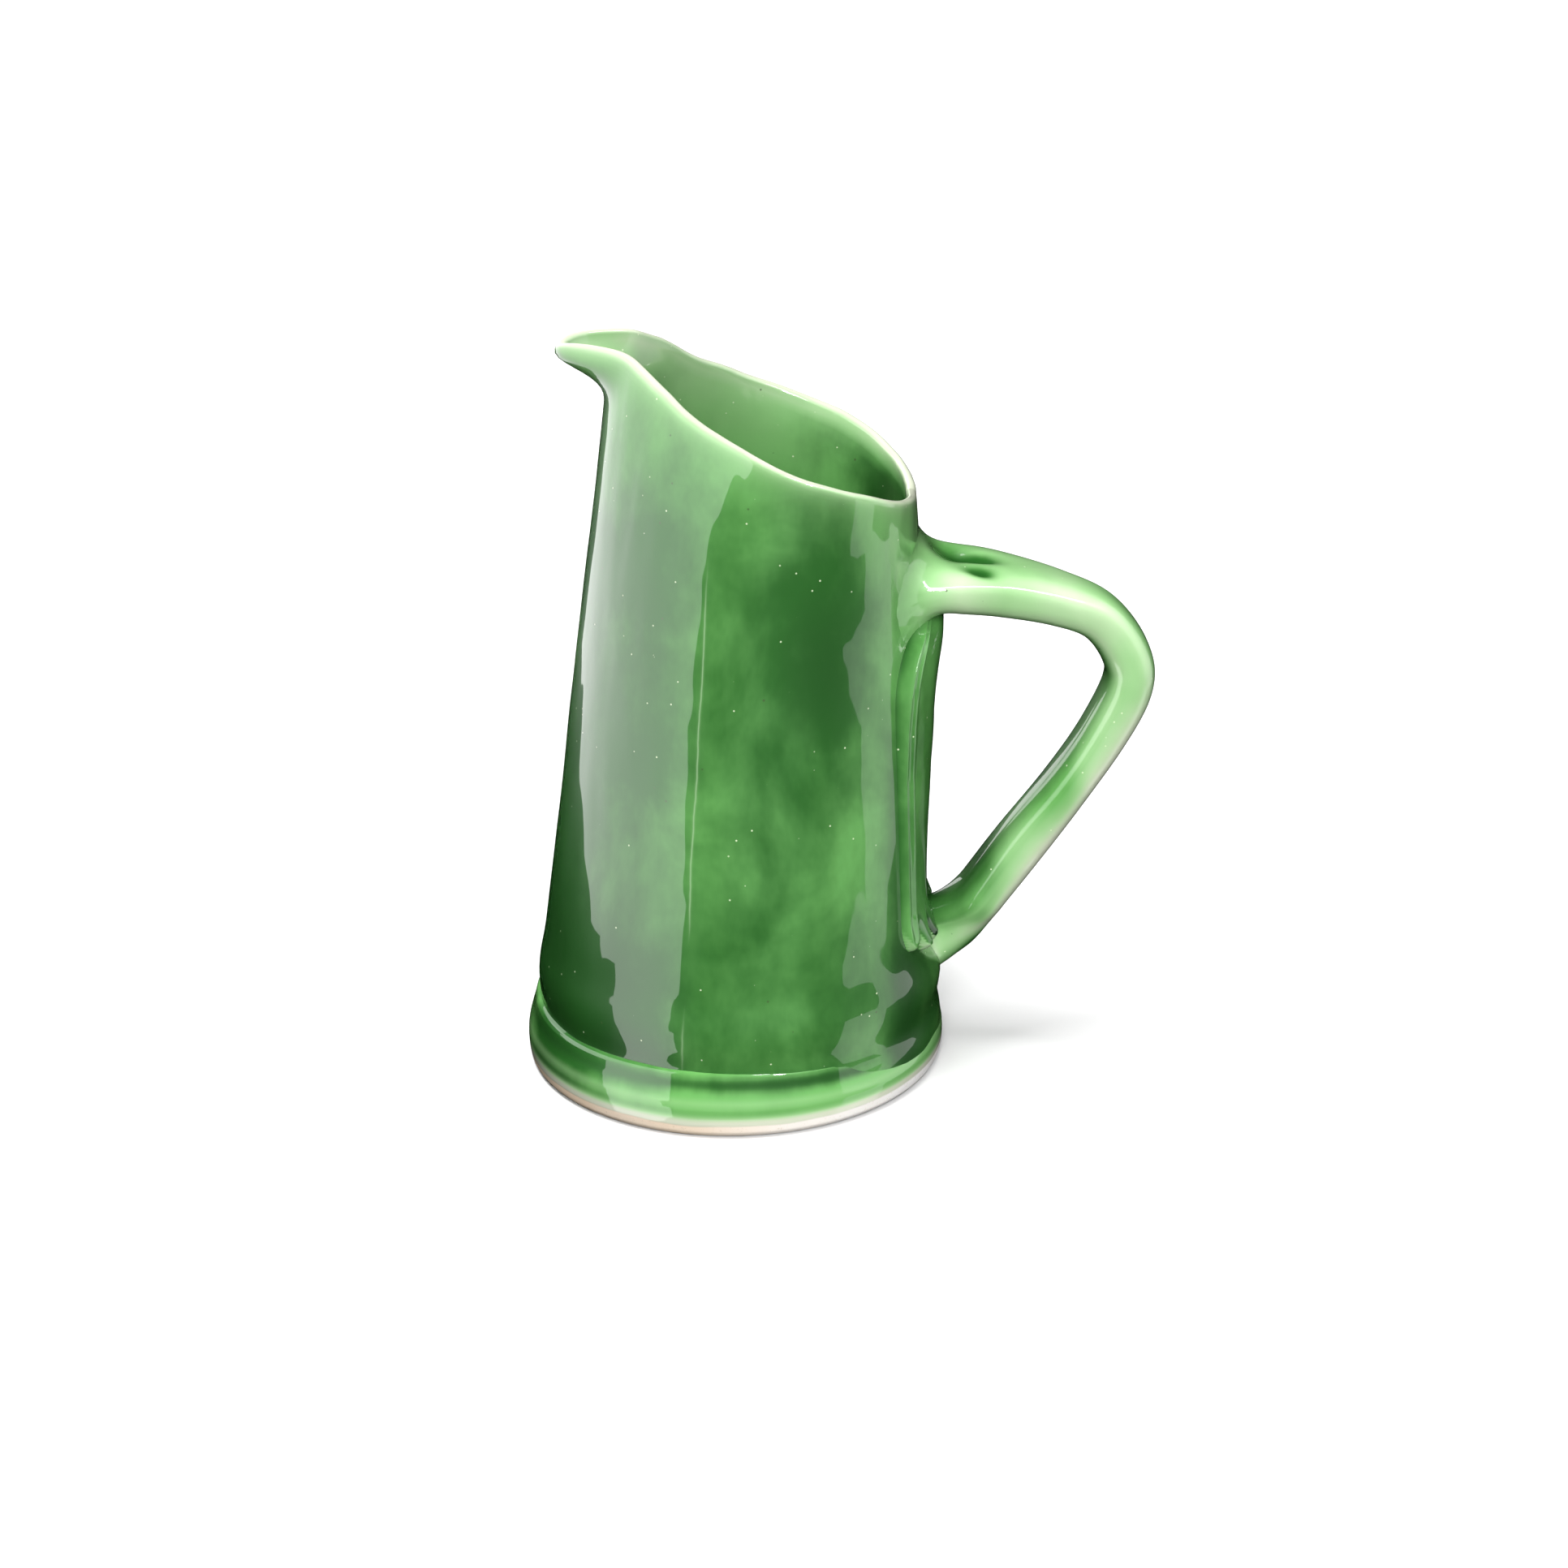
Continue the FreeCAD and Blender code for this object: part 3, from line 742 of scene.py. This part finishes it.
# Four upright cloths seen only in the glaze: a lit white one at each side and behind, and a low
# black one close to the left of the pitcher.  Side outlines are given as how far back and how high.
def upright_cloth(name, corners, strength):
    """A flat cloth that shines with a given strength, and is dark at strength 0."""
    mesh = bpy.data.meshes.new(name)
    mesh.from_pydata(corners, [], [tuple(range(len(corners)))])
    cloth = bpy.data.objects.new(name, mesh)
    bpy.context.collection.objects.link(cloth)
    weave, _, dull = new_material(name + "_cloth")
    dull.inputs["Base Color"].default_value = (0.004, 0.004, 0.004, 1)
    dull.inputs["Specular IOR Level"].default_value = 0.0
    dull.inputs["Emission Strength"].default_value = strength
    dull.inputs["Emission Color"].default_value = (1, 1, 1, 1)
    weave.cycles.emission_sampling = "NONE"
    mesh.materials.append(weave)
    cloth.visible_camera = False
    cloth.visible_diffuse = False
    cloth.visible_shadow = False


upright_cloth("black_card", [(-0.12, back, high) for back, high in (
    (-0.075, -0.010), (-0.068, 0.010), (-0.064, 0.018), (-0.045, 0.019), (-0.036, 0.026), (-0.020, 0.027),
    (-0.008, 0.036), (0.006, 0.041), (0.021, 0.052), (0.035, 0.057), (0.055, 0.068), (0.080, 0.078),
    (0.120, 0.088), (0.300, 0.115), (0.300, -0.200), (-0.075, -0.200))], 0.0)
upright_cloth("left_diffuser", [(-0.9, back, high) for back, high in (
    (1.10, 1.00), (1.10, -0.90), (-1.35, -0.90), (-1.35, -0.33), (-1.18, -0.25), (-1.13, -0.18),
    (-1.14, -0.115), (-1.26, -0.08), (-1.35, 0.0), (-1.35, 1.00))], 2.5)
upright_cloth("right_diffuser", [(0.9, back, high) for back, high in (
    (-0.60, 0.90), (0.45, 0.90), (0.45, -0.215), (0.36, -0.240), (0.08, -0.250), (0.0, -0.262),
    (-0.09, -0.275), (-0.08, -0.90), (-0.62, -0.90), (-0.55, -0.290), (-0.42, -0.250), (-0.24, -0.235),
    (-0.20, -0.190), (-0.18, -0.155), (-0.60, -0.135))], 1.1)
upright_cloth("back_cloth", [(across, 1.2, high) for across, high in (
    (-2.2, 0.03), (-0.15, 0.03), (-0.15, 1.2), (-2.2, 1.2))], 1.7)


def place_lamp(lamp, way, at, mirrored):
    """Aims a lamp along a way; it is seen mirrored in the glaze only, or gives light only."""
    holder = bpy.data.objects.new(lamp.name, lamp)
    bpy.context.collection.objects.link(holder)
    holder.location = at
    holder.rotation_euler = Vector(way).to_track_quat("-Z", "Y").to_euler()
    holder.visible_glossy = mirrored
    holder.visible_diffuse = not mirrored


def soft_light(name, at, toward, width, height, strength, mirrored=False):
    lamp = bpy.data.lights.new(name, "AREA")
    lamp.shape = "RECTANGLE"
    lamp.size = width
    lamp.size_y = height
    lamp.energy = strength
    place_lamp(lamp, Vector(toward) - Vector(at), at, mirrored)


soft_light("key_front", (0.15, -1.3, 1.0), (0.0, 0.0, 0.08), 0.8, 0.8, 23.0)
soft_light("low_front", (0.10, -0.50, 0.03), (0.0, 0.0, 0.01), 0.5, 0.1, 1.2)
soft_light("low_right", (0.42, -0.25, 0.03), (0.08, 0.0, 0.08), 0.3, 0.1, 0.25)
soft_light("front_glint", (0.75, -0.80, 0.95), (0.03, 0.0, 0.1), 1.3, 0.12, 11.0, mirrored=True)
sky = bpy.data.lights.new("high_left", "SUN")
sky.energy = 3.6
sky.angle = math.radians(28.0)
place_lamp(sky, (0.17, 0.05, -1.0), (0.0, 0.0, 0.0), mirrored=False)
soft_light("back_fill", (-0.5, 1.4, 0.9), (0.0, 0.0, 0.08), 1.0, 0.8, 9.0)
soft_light("small_glint", (0.50, -1.0, 0.62), (0.05, 0.0, 0.05), 0.13, 0.13, 3.2, mirrored=True)
world = bpy.data.worlds.new("studio")
bpy.context.scene.world = world
world.use_nodes = True
backdrop = world.node_tree.nodes["Background"]
backdrop.inputs["Color"].default_value = (1.0, 1.0, 1.0, 1)
backdrop.inputs["Strength"].default_value = 1.0
world.cycles_visibility.diffuse = False
world.cycles_visibility.glossy = False

lens = bpy.data.cameras.new("camera")
lens.sensor_width = 36.0
lens.lens = 67.5
camera = bpy.data.objects.new("camera", lens)
bpy.context.collection.objects.link(camera)
look_down, roll = math.radians(22.07), math.radians(-0.75)
forward = Vector((0, math.cos(look_down), -math.sin(look_down)))
side = Vector((1, 0, 0))
upward = side.cross(forward)
side_rolled = math.cos(roll) * side + math.sin(roll) * upward
up_rolled = -math.sin(roll) * side + math.cos(roll) * upward
turned = Matrix((side_rolled, up_rolled, -forward)).transposed().to_4x4()
camera.matrix_world = Matrix.Translation((0.0137, -0.7089, 0.3616)) @ turned
bpy.context.scene.camera = camera
bpy.context.scene.view_settings.view_transform = "Standard"
